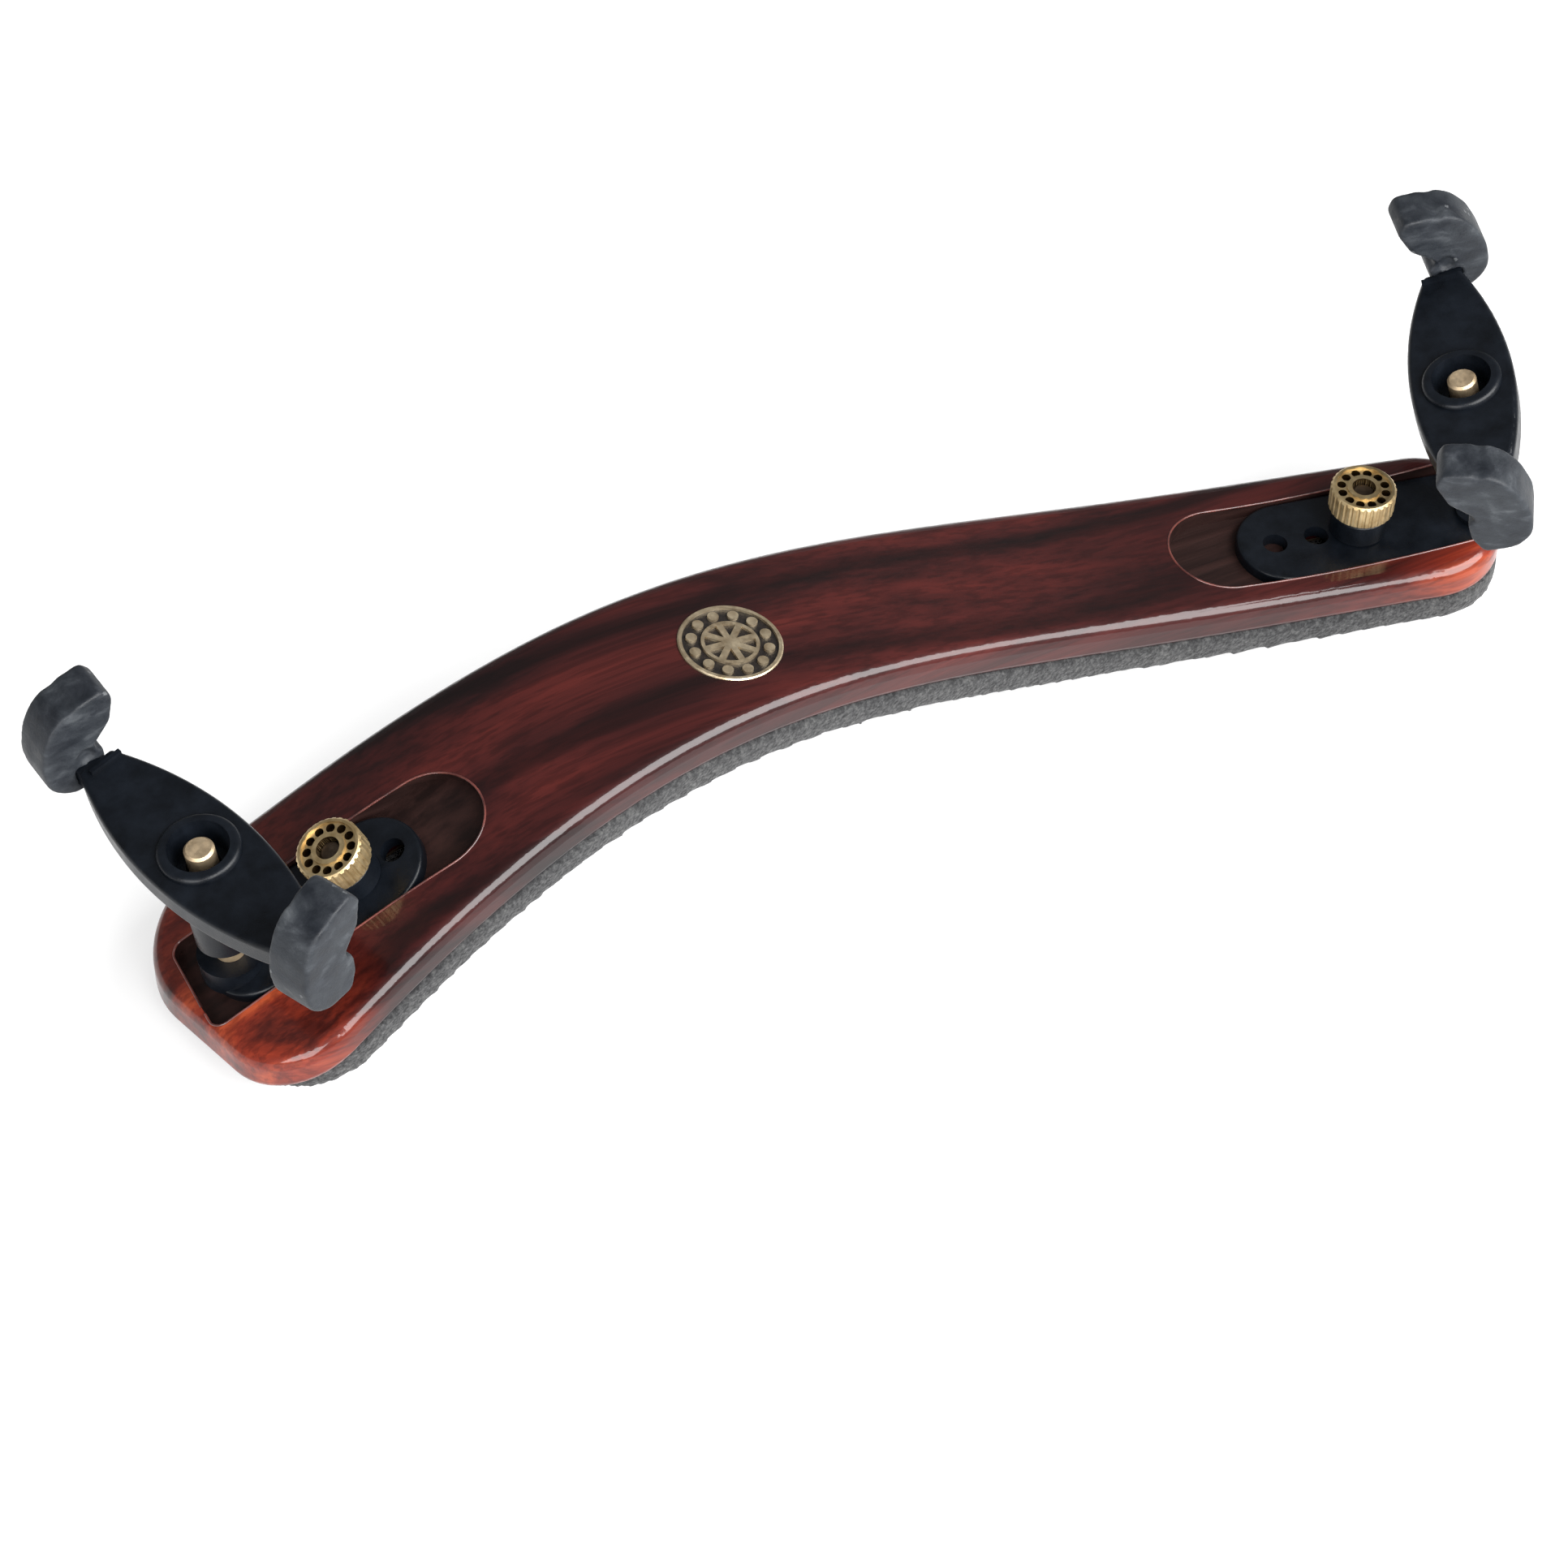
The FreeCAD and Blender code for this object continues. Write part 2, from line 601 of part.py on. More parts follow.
def make_clamp(name, side):
    frame = channel_frame(side)
    thick, collar, nut = size("plate_thick"), size("collar_height"), size("nut_height")
    zero = "0 * nut_height"
    head = "-(web_thick + rail_thick + 0.05)"
    end = "plate_thick + collar_height + nut_height - 1.1"
    stud = lathe("clamp_stud_" + name, [
        (zero, head + " - stud_head_thick"), ("stud_head_radius", head + " - stud_head_thick"),
        ("stud_head_radius", head), ("stud_radius", head),
        ("stud_radius", end + " - 0.4"), ("stud_radius - 0.4", end), (zero, end),
    ])
    keep(stud, "clamp_stud_" + name, frame)
    strip = slot_solid(
        name + "_strip", -side["inward"], side["outward"], "rail_width",
        "-(web_thick + rail_thick)", "rail_thick",
    )
    way = slot_solid(name + "_way", -side["inward"], side["outward"], "slot_width", "-6", "8")
    keep(combine("Cut", name + "_rail", strip, [way]), "stud_rail_" + name, frame)
    washer = lathe("clamp_collar_" + name, [
        ("stud_radius + 0.08", zero), ("collar_radius - 0.3", zero), ("collar_radius", "0.3 + " + zero),
        ("collar_radius", "collar_height - 0.8"), ("collar_radius - 0.8", "collar_height"),
        ("stud_radius + 0.08", "collar_height"),
    ])
    keep(washer, "clamp_collar_" + name, local(frame, 0, 0, thick))
    inner = "nut_ring_radius"
    rim = "nut_radius - nut_rim"
    knob = lathe("clamp_nut_" + name, [
        ("nut_bore", zero), ("nut_radius - 0.4", zero), ("nut_radius", "0.4 + " + zero),
        ("nut_radius", "nut_height - 0.4"), ("nut_radius - 0.4", "nut_height"),
        (rim, "nut_height"), (rim, "nut_height - nut_recess"),
        (inner, "nut_height - nut_recess"), (inner, "nut_height"), ("nut_bore", "nut_height"),
    ])
    face = new_sketch(knob, "Pocket_outline", "XY_Plane")
    circle(face, "(nut_ring_radius + nut_radius - nut_rim) / 2", zero, "nut_dimple")
    face.AttachmentOffset = Placement(Vector(0, 0, nut), Rotation())
    dimple = pocket(knob, face, depth="dimple_depth")
    repeat_round(knob, dimple, "nut_dimples")
    edge = new_sketch(knob, "Flute_outline", "XY_Plane")
    circle(edge, "nut_radius + 0.12", zero, "flute_radius")
    edge.AttachmentOffset = Placement(Vector(0, 0, nut), Rotation())
    flute = pocket(knob, edge)
    repeat_round(knob, flute, "nut_flutes")
    keep(knob, "clamp_nut_" + name, local(frame, 0, 0, thick + collar))


# ------------------------------------------------------------- legs and forks
def make_leg(name, side):
    zero = "0 * leg_radius"
    above = "%g" % side["fork_above"]
    end = above + " + leg_end_rise"
    screw = lathe("leg_screw_" + name, [
        (zero, "-leg_foot"), ("leg_radius", "-leg_foot"), ("leg_radius", end + " - 0.4"),
        ("leg_radius - 0.4", end), (zero, end),
    ])
    keep(screw, "leg_screw_" + name, leg_frame(side))
    ring = lathe("fork_bush_" + name, [
        ("bush_bore", zero), ("bush_radius", zero), ("bush_radius", "bush_length"),
        ("bush_bore", "bush_length"),
    ])
    keep(ring, "fork_bush_" + name, local(leg_frame(side), 0, 0, side["hub_above"]))


def boot_root(tag, sign, spare=0):
    """The tongue and the upright prong that a boot is pushed over, at one end of a fork."""
    overlap = "%d" % spare
    tongue = solid("Box", tag + "_tongue", Length="tongue_width",
                   Width="tongue_reach - fork_reach + " + overlap, Height="tongue_thick")
    start = "fork_reach - " + overlap if sign > 0 else "-tongue_reach"
    shift(tongue, x="-tongue_outer", y=start, z="tongue_low - fork_thick")
    prong = solid("Box", tag + "_prong", Length="prong_thick",
                  Width="tongue_reach - fork_reach - prong_start", Height="fork_thick + prong_height - 1")
    start = "fork_reach + prong_start" if sign > 0 else "-tongue_reach"
    shift(prong, x="-prong_outer", y=start, z="0.5 - fork_thick")
    return [tongue, prong]


def make_fork(name, side):
    frame = fork_frame(side)
    out = "fork_arc - fork_half_width"
    blank = solid("Box", name + "_fork_box", Length="2 * fork_half_width + 4", Width="2 * fork_reach",
                  Height="fork_thick")
    shift(blank, x="-fork_half_width - 2", y="-fork_reach", z="-fork_thick")
    arcs = []
    for number, sign in enumerate("-+"):
        drum = solid("Cylinder", "%s_arc%d" % (name, number), Radius="fork_arc", Height="fork_thick")
        drum.Placement = Placement(Vector(), Rotation(Z_AXIS, 180 if sign == "-" else 0))
        arcs.append(shift(drum, x="%s(%s)" % (sign, out), z="-fork_thick"))
    lens = combine("Common", name + "_lens", blank, arcs)

    def long_edge(edge):
        return edge.Length > 40

    lens = round_edges(name + "_lens_round", lens, long_edge, "fork_edge")
    adds = []
    for number, sign in enumerate((-1, 1)):
        adds += boot_root("%s_root%d" % (name, number), sign)
        latch = solid("Box", "%s_latch%d" % (name, number), Length="latch_length", Width="latch_width",
                      Height="latch_height + 0.5")
        adds.append(shift(latch, x="-2.2", y="%d * latch_reach - latch_width / 2" % sign, z="-0.5"))
    flare = solid("Cone", name + "_flare", Radius1="hub_radius", Radius2="hub_flare",
                  Height="hub_flare_height")
    adds.append(shift(flare, z="-fork_thick - hub_flare_height + 0.5"))
    length = side["fork_above"] - side["hub_above"]
    hub = solid("Cylinder", name + "_hub", Radius="hub_radius", Height="%g - 1" % length)
    adds.append(shift(hub, z="-%g" % length))
    rim = solid("Cylinder", name + "_rim", Radius="rim_radius", Height="rim_height + 1")
    adds.append(shift(rim, z="-1"))
    fork = combine("Fuse", name + "_fork_blank", lens, adds)

    def rim_edge(edge):
        wide = edge.BoundBox.XLength > 2 * size("rim_radius") - 0.1
        return wide and edge.BoundBox.ZMin > size("rim_height") - 0.01

    fork = round_edges(name + "_fork_round", fork, rim_edge, "fork_edge")
    well = solid("Cone", name + "_well", Radius1="well_radius - 0.6", Radius2="well_radius + 0.3",
                 Height="well_depth + rim_height")
    shift(well, z="-well_depth")
    bore = solid("Cylinder", name + "_bore", Radius="hub_bore", Height="%g" % (length + 2))
    shift(bore, z="-%g" % (length + 1))
    seat = solid("Cylinder", name + "_bush_seat", Radius="bush_radius + 0.05",
                 Height="bush_length + 1")
    shift(seat, z="-%g - 1" % length)
    keep(combine("Cut", name + "_fork", fork, [well, bore, seat]), "fork_" + name, frame)


# Section of a boot across the fork: towards the bar's middle, above the fork's top
# face, and which rounding the corner gets. It starts under the fork and runs round
# the foot, the groove for the instrument's edge, the lip and the domed outer side.
BOOT_SECTION = [
    (-4.6, -5.3, "boot_heel"), (0.9, -5.8, "boot_lip"), (2.6, -2.6, "boot_lip"),
    (2.8, 0.9, "boot_crease"), (1.6, 1.7, "boot_crease"), (1.6, 2.8, "boot_crease"),
    (5.2, 6.2, "boot_lip"), (6.8, 11.0, "boot_lip"), (5.2, 13.4, "boot_lip"),
    (1.0, 12.9, "boot_crease"), (-0.6, 12.1, "boot_crease"), (-2.0, 12.2, "boot_lip"),
    (-4.6, 10.6, "boot_dome"), (-6.8, 7.2, "boot_dome"), (-8.1, 2.6, "boot_dome"),
    (-7.8, -2.4, "boot_heel"),
]


def boot_corner(rounding):
    """A test for the boot's long straight edges whose corner gets this rounding."""
    spots = [(x, z) for x, z, kind in BOOT_SECTION if kind == rounding]

    def test(edge):
        start, end = edge.Vertexes[0].Point, edge.Vertexes[-1].Point
        straight = abs(start.x - end.x) < 0.01 and abs(start.z - end.z) < 0.01
        return straight and any(math.hypot(start.x - x, start.z - z) < 0.01 for x, z in spots)

    return test


def make_boot(name, side, end, sign):
    """A rubber boot over one end of a fork, its groove facing the bar's middle."""
    tag = "%s_%s" % (name, end)
    section = new_body(tag + "_section")
    drawing = new_sketch(section, "Profile", "XZ_Plane")
    corners = [(x, z) for x, z, rounding in BOOT_SECTION]
    polygon(drawing, [("%g + 0 * boot_length" % x, "%g + 0 * boot_length" % z) for x, z in corners])
    pad(section, drawing, "boot_length")
    block = section
    for rounding in ("boot_dome", "boot_heel", "boot_lip", "boot_crease"):
        block = round_edges("%s_%s" % (tag, rounding), block, boot_corner(rounding), rounding)

    def end_edge(edge):
        return edge.BoundBox.YLength < 0.01

    block = round_edges(tag + "_ends", block, end_edge, "boot_round")
    turn = Rotation(Z_AXIS, -sign * size("boot_toe"))
    middle = Vector(0, sign * (size("fork_reach") + size("boot_gap") + size("boot_length") / 2), 0)
    back = turn.multVec(Vector(0, size("boot_length") / 2, 0))
    block.Placement = Placement(middle + back, turn)
    notch = solid("Cylinder", tag + "_notch", Radius="notch_radius", Height="notch_length")
    notch.Placement = Placement(
        Vector(-1.0, sign * (size("fork_reach") - 1.4), 1.4), Rotation(X_AXIS, -90 * sign))
    cutters = boot_root(tag, sign, spare=1) + [notch]
    label = "boot_%s_%s" % (name, end)
    keep(combine("Cut", tag, block, cutters), label, fork_frame(side))


make_bar()
make_foam()
make_medallion()
for side_name, side_data in SIDES.items():
    make_plate(side_name, side_data)
    make_clamp(side_name, side_data)
    make_leg(side_name, side_data)
    make_fork(side_name, side_data)
    # The left fork faces +X and the right one -X, so their own +Y ends differ.
    make_boot(side_name, side_data, "back" if side_name == "left" else "front", 1)
    make_boot(side_name, side_data, "front" if side_name == "left" else "back", -1)
doc.recompute()

# Move everything so that the origin is at the middle of the underside of the box.
everything = Part.makeCompound([item.Shape for item in PARTS.values()])
box = everything.optimalBoundingBox(False)
home = Placement(Vector(-box.Center.x, -box.Center.y, -box.ZMin), Rotation())
for item in PARTS.values():
    item.Placement = home.multiply(item.Placement)
doc.recompute()

for item in doc.Objects:
    if "Invalid" in item.State or "Error" in item.State:
        raise RuntimeError(item.Name + " failed: " + ", ".join(item.State))
for label, item in PARTS.items():
    if item.Shape.isNull() or not item.Shape.isValid():
        raise RuntimeError(label + " has no valid shape")
os.makedirs("parts", exist_ok=True)
for label, item in PARTS.items():
    item.Shape.exportStep("parts/" + label + ".step")
print(len(PARTS), "parts")
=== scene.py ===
import json
import math

import bpy
from mathutils import Matrix, Vector


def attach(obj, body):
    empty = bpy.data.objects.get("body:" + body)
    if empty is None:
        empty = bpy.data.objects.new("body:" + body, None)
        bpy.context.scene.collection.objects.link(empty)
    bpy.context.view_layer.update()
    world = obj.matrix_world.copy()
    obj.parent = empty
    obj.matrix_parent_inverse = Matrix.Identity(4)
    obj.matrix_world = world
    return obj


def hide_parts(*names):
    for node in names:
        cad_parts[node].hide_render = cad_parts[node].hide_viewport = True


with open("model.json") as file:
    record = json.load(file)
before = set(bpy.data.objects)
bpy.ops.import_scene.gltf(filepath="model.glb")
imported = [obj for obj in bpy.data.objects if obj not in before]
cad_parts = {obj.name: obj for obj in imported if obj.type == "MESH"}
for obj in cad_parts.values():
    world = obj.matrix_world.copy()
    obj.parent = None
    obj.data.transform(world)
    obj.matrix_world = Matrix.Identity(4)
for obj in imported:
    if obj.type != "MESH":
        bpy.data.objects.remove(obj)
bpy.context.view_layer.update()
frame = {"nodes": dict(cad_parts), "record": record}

NODES = frame["nodes"]
JOINTS = {joint["name"]: joint for joint in frame["record"]["behaviour"]["joints"]}
SIDES = ("left", "right")
MM = 0.001

# A violin shoulder rest: a lacquered wooden bar on a sponge pad, with a clamp fork at each end.
# Everything is in metres, with X along the bar, Y away from the player and Z up.

# ----------------------------------------------------------------------- sizes
# Each channel's faces are found from the point where its clamp nut's axis meets its floor.
CHANNEL_HALF_WIDTH = 9.7 * MM
CHANNEL_REACH = 45.0 * MM
WALL_HEIGHT = 7.0 * MM
WALL_TOLERANCE = 0.2 * MM
FLOOR_TOLERANCE = 0.15 * MM
LEVEL = 0.98  # cosine between a floor face's normal and the nut's axis, at least
UPRIGHT = 0.2  # the same cosine for a wall face, at most
MOUTH_HEIGHT = 1.0 * MM
LIP_RADIUS = 0.19 * MM

# Pockets in a clamp nut's face, painted dark as shade: their faces' least and greatest depth,
# and their reach.
POCKET_TOP = 0.6 * MM
POCKET_FLOOR = 3.0 * MM
POCKET_REACH = 4.9 * MM

# Soft pieces: the grid they are remade on, and how often they are smoothed.
PAD_CELL = 0.8 * MM
PAD_ROUNDS = 4
PAD_GRAIN = 1.1 * MM
PAD_RELIEF = 0.13 * MM
BOOT_CELL = 0.28 * MM
BOOT_ROUNDS = 24

# The wood is painted warmer and lighter, as light falling on the front of its ends, from the
# first place to the second: along the bar, then across it.
LEFT_WARM = ((-0.092, -0.116), (0.010, -0.012))
RIGHT_WARM = ((0.090, 0.121), (0.006, -0.006))

# Slots of the pieces that have two materials.
OUTER, INNER = 0, 1


# -------------------------------------------------------------- shader helpers
class Look:
    """Builds one procedural material, node by node. Colours are linear."""

    def __init__(self, name):
        self.material = bpy.data.materials.new(name)
        self.material.use_nodes = True
        self.tree = self.material.node_tree
        self.tree.nodes.clear()
        self.output = self.node("ShaderNodeOutputMaterial")
        self.shader = self.node("ShaderNodeBsdfPrincipled")
        self.link(self.shader.outputs[0], self.output.inputs["Surface"])
        self.place = self.node("ShaderNodeTexCoord").outputs["Object"]

    def node(self, kind, **settings):
        made = self.tree.nodes.new(kind)
        for key, value in settings.items():
            setattr(made, key, value)
        return made

    def link(self, source, target):
        self.tree.links.new(source, target)

    def feed(self, target, value):
        """A socket gets another socket's output, or a plain value."""
        if isinstance(value, bpy.types.NodeSocket):
            self.link(value, target)
        else:
            target.default_value = value

    def set(self, **inputs):
        """Inputs of the surface shader, with spaces written as underscores."""
        for key, value in inputs.items():
            self.feed(self.shader.inputs[key.replace("_", " ")], value)

    def stretch(self, x, y, z):
        """The place on the object, scaled along each axis."""
        mapping = self.node("ShaderNodeMapping")
        self.link(self.place, mapping.inputs["Vector"])
        mapping.inputs["Scale"].default_value = (x, y, z)
        return mapping.outputs[0]

    def noise(self, where, scale=1.0, detail=4.0, rough=0.55, warp=0.0):
        made = self.node("ShaderNodeTexNoise")
        self.link(where, made.inputs["Vector"])
        made.inputs["Scale"].default_value = scale
        made.inputs["Detail"].default_value = detail
        made.inputs["Roughness"].default_value = rough
        made.inputs["Distortion"].default_value = warp
        return made.outputs[0]

    def ramp(self, value, *stops):
        """Colours along a value: stops are (position, colour)."""
        made = self.node("ShaderNodeValToRGB")
        self.link(value, made.inputs[0])
        ramp = made.color_ramp
        while len(ramp.elements) < len(stops):
            ramp.elements.new(0.5)
        for element, (position, colour) in zip(ramp.elements, stops):
            element.position = position
            element.color = (*colour, 1.0)
        return made.outputs[0]

    def steps(self, value, low, high, start=0.0, end=1.0):
        """The value's range low..high turned smoothly into start..end."""
        made = self.node("ShaderNodeMapRange", interpolation_type="SMOOTHSTEP")
        self.link(value, made.inputs["Value"])
        made.inputs["From Min"].default_value = low
        made.inputs["From Max"].default_value = high
        made.inputs["To Min"].default_value = start
        made.inputs["To Max"].default_value = end
        return made.outputs[0]

    def mix(self, factor, first, second, how="MIX"):
        """Two colours mixed: the node's colours are inputs 6 and 7, and output 2."""
        made = self.node("ShaderNodeMix", data_type="RGBA", blend_type=how)
        self.feed(made.inputs[0], factor)
        for socket, value in ((made.inputs[6], first), (made.inputs[7], second)):
            if isinstance(value, tuple):
                value = (*value, 1.0)
            self.feed(socket, value)
        return made.outputs[2]

    def math(self, how, first, second):
        made = self.node("ShaderNodeMath", operation=how)
        self.feed(made.inputs[0], first)
        self.feed(made.inputs[1], second)
        return made.outputs[0]

    def axis(self, index):
        """One coordinate of the place on the object: 0 along the bar, 1 across it."""
        split = self.node("ShaderNodeSeparateXYZ")
        self.link(self.place, split.inputs[0])
        return split.outputs[index]

    def bump(self, height, strength, distance):
        made = self.node("ShaderNodeBump")
        self.link(height, made.inputs["Height"])
        made.inputs["Strength"].default_value = strength
        made.inputs["Distance"].default_value = distance
        return made.outputs[0]


# ----------------------------------------------------------------------- looks
def wood_veins(look):
    """Wide wandering bands, dark and light, that multiply the grain."""
    waves = look.node("ShaderNodeTexWave", bands_direction="Y", wave_profile="SIN")
    look.link(look.stretch(9, 42, 42), waves.inputs["Vector"])
    waves.inputs["Scale"].default_value = 0.42
    waves.inputs["Distortion"].default_value = 9.0
    waves.inputs["Detail"].default_value = 3.0
    waves.inputs["Detail Scale"].default_value = 0.55
    waves.inputs["Detail Roughness"].default_value = 0.6
    return look.ramp(
        waves.outputs["Fac"],
        (0.02, (0.42, 0.36, 0.38)),
        (0.16, (0.88, 0.86, 0.88)),
        (0.75, (1.12, 1.06, 1.02)),
    )


def painted_light_on_ends(look):
    """How much painted light warms the wood: up to 1 in patches at the front of both ends, 0
    between them.
    """
    along, across = look.axis(0), look.axis(1)
    left = look.math("MULTIPLY", look.steps(along, *LEFT_WARM[0]),
                     look.steps(across, *LEFT_WARM[1], start=0.25))
    right = look.math("MULTIPLY", look.steps(along, *RIGHT_WARM[0]),
                      look.steps(across, *RIGHT_WARM[1]))
    patches = look.noise(look.stretch(60, 60, 60), detail=3.0, rough=0.55)
    return look.math("MULTIPLY", look.math("MAXIMUM", left, right),
                     look.steps(patches, 0.25, 0.50, start=0.5))


def wood_look():
    """Dark red-brown hardwood under a thick glossy lacquer, painted warmer and lighter towards
    the front of the ends as light falling there.
    """
    look = Look("lacquered_wood")
    fibres = look.noise(look.stretch(5, 130, 130), detail=7.0, rough=0.62, warp=0.35)
    pores = look.noise(look.stretch(28, 1000, 1000), detail=2.0, rough=0.6)
    clouds = look.noise(look.stretch(10, 24, 24), detail=3.0, rough=0.5, warp=0.6)
    peel = look.noise(look.place, scale=240.0, detail=2.0, rough=0.5)
    grain = look.ramp(
        fibres,
        (0.32, (0.012, 0.0028, 0.0030)),
        (0.46, (0.032, 0.0056, 0.0054)),
        (0.60, (0.052, 0.0088, 0.0078)),
        (0.78, (0.078, 0.0135, 0.0105)),
    )
    lit_grain = look.ramp(
        fibres,
        (0.34, (0.050, 0.0065, 0.004)),
        (0.47, (0.165, 0.019, 0.008)),
        (0.64, (0.34, 0.058, 0.019)),
    )
    shade = look.ramp(clouds, (0.36, (0.66, 0.60, 0.62)), (0.64, (1.20, 1.12, 1.05)))
    pore_lines = look.ramp(pores, (0.40, (0.55, 0.50, 0.52)), (0.54, (1.0, 1.0, 1.0)))
    body = look.mix(1.0, grain, wood_veins(look), "MULTIPLY")
    body = look.mix(1.0, body, shade, "MULTIPLY")
    # Painted light: the grain at the front of both ends is made orange and lighter, as if lit.
    body = look.mix(painted_light_on_ends(look), body, lit_grain)
    look.set(
        Base_Color=look.mix(0.7, body, pore_lines, "MULTIPLY"),
        Roughness=0.42,
        Specular_IOR_Level=0.12,
        Coat_Weight=0.65,
        Coat_Roughness=0.09,
        Coat_IOR=1.5,
        Coat_Normal=look.bump(peel, strength=0.06, distance=0.4 * MM),
        Normal=look.bump(pores, strength=0.15, distance=0.2 * MM),
    )
    return look.material


def lip_look():
    """Lacquered edge of the channel, painted paler than the face as a highlight."""
    look = Look("channel_lip")
    lip_highlight_noise = look.noise(look.place, scale=260.0, detail=3.0, rough=0.6)
    look.set(
        # Painted highlight: the lip's colour is paler than the lacquered face.
        Base_Color=look.ramp(lip_highlight_noise, (0.35, (0.035, 0.008, 0.007)), (0.65, (0.13, 0.034, 0.026))),
        Roughness=0.30,
        Coat_Weight=0.8,
        Coat_Roughness=0.12,
        Normal=look.bump(lip_highlight_noise, strength=0.2, distance=0.2 * MM),
    )
    return look.material


def channel_shade_look():
    """The channel's floor and walls: bare stained wood with fine cutter marks, painted darker
    as shade in the recess.
    """
    look = Look("channel_floor_painted_shade")
    fibres = look.noise(look.stretch(16, 420, 420), detail=5.0, rough=0.6)
    look.set(
        # Painted shade: the floor and walls are much darker than the lacquered face.
        Base_Color=look.ramp(
            fibres,
            (0.35, (0.0065, 0.0024, 0.0020)),
            (0.7, (0.022, 0.0075, 0.0058)),
        ),
        Roughness=look.steps(fibres, 0.3, 0.7, start=0.50, end=0.68),
        Specular_IOR_Level=0.22,
        Normal=look.bump(fibres, strength=0.35, distance=0.3 * MM),
    )
    return look.material


def foam_look():
    """Dark grey sponge, pitted and speckled."""
    look = Look("foam")
    pits = look.node("ShaderNodeTexVoronoi")
    look.link(look.place, pits.inputs["Vector"])
    pits.inputs["Scale"].default_value = 1500.0
    speckle = look.noise(look.place, scale=1100.0, detail=4.0, rough=0.75)
    soft = look.noise(look.place, scale=60.0, detail=3.0, rough=0.5)
    colour = look.ramp(
        speckle,
        (0.34, (0.009, 0.009, 0.0095)),
        (0.50, (0.028, 0.028, 0.029)),
        (0.70, (0.075, 0.075, 0.074)),
    )
    shade = look.ramp(soft, (0.3, (0.85, 0.85, 0.86)), (0.7, (1.1, 1.1, 1.08)))
    height = look.math("ADD", pits.outputs["Distance"], speckle)
    look.set(
        Base_Color=look.mix(1.0, colour, shade, "MULTIPLY"),
        Roughness=0.95,
        Specular_IOR_Level=0.2,
        Sheen_Weight=0.1,
        Sheen_Roughness=0.6,
        Normal=look.bump(height, strength=0.5, distance=0.5 * MM),
    )
    return look.material


def plastic_look():
    """Black moulded plastic, slightly mottled, with a fine spark-eroded texture."""
    look = Look("black_plastic")
    black, mottle, roughness = (0.0030, 0.0042, 0.0064), 0.45, 0.33
    fine = look.noise(look.place, scale=2600.0, detail=3.0, rough=0.6)
    patches = look.noise(look.place, scale=190.0, detail=4.0, rough=0.6)
    darker = tuple(value * (1 - mottle) for value in black)
    lighter = tuple(value * (1 + mottle) for value in black)
    look.set(
        Base_Color=look.ramp(patches, (0.32, darker), (0.68, lighter)),
        Roughness=look.steps(patches, 0.3, 0.7, start=roughness - 0.06, end=roughness + 0.06),
        Specular_IOR_Level=0.24,
        Normal=look.bump(fine, strength=0.22, distance=0.12 * MM),
    )
    return look.material


def rubber_look():
    """Dark grey soft rubber: paler on its ridges, partly rubbed wear and partly a painted
    highlight, with dust in patches and streaks.
    """
    look = Look("boot_rubber")
    dust = look.noise(look.stretch(1, 1, 2), scale=240.0, detail=5.0, rough=0.6, warp=0.4)
    specks = look.noise(look.place, scale=1900.0, detail=3.0, rough=0.6)
    patches = look.noise(look.place, scale=130.0, detail=3.0, rough=0.5, warp=0.8)
    ridges = look.node("ShaderNodeNewGeometry").outputs["Pointiness"]
    colour = look.ramp(
        dust,
        (0.34, (0.0090, 0.0108, 0.0138)),
        (0.55, (0.0175, 0.0202, 0.0242)),
        (0.76, (0.0430, 0.0472, 0.0525)),
    )
    tint = look.ramp(patches, (0.35, (0.70, 0.72, 0.78)), (0.65, (1.40, 1.39, 1.36)))
    colour = look.mix(1.0, colour, tint, "MULTIPLY")
    # Ridges are painted paler: partly rubbed wear, partly a painted highlight on the edges.
    ridge_wear_and_highlight = look.math("MULTIPLY", look.steps(ridges, 0.525, 0.600, end=0.8),
                       look.steps(specks, 0.30, 0.60, start=0.35))
    look.set(
        Base_Color=look.mix(ridge_wear_and_highlight, colour, (0.12, 0.126, 0.132)),
        Roughness=look.steps(dust, 0.3, 0.7, start=0.42, end=0.66),
        Specular_IOR_Level=0.28,
        Normal=look.bump(specks, strength=0.30, distance=0.2 * MM),
    )
    return look.material


def metal_look(name, bright, dull, roughness):
    """Turned metal: fine tool marks and a little tarnish."""
    look = Look(name)
    marks = look.noise(look.stretch(1, 1, 6), scale=900.0, detail=3.0, rough=0.6)
    tarnish = look.noise(look.place, scale=330.0, detail=4.0, rough=0.6)
    look.set(
        Base_Color=look.ramp(tarnish, (0.34, dull), (0.62, bright)),
        Metallic=0.92,
        Roughness=look.steps(marks, 0.3, 0.7, start=roughness - 0.06, end=roughness + 0.08),
        Normal=look.bump(marks, strength=0.12, distance=0.1 * MM),
    )
    return look.material


def enamel_look():
    """Nearly black enamel ground of the medallion."""
    look = Look("medallion_enamel")
    pits = look.noise(look.place, scale=1500.0, detail=4.0, rough=0.6)
    look.set(
        Base_Color=look.ramp(pits, (0.35, (0.004, 0.003, 0.003)), (0.7, (0.014, 0.010, 0.008))),
        Roughness=0.42,
        Normal=look.bump(pits, strength=0.3, distance=0.2 * MM),
    )
    return look.material


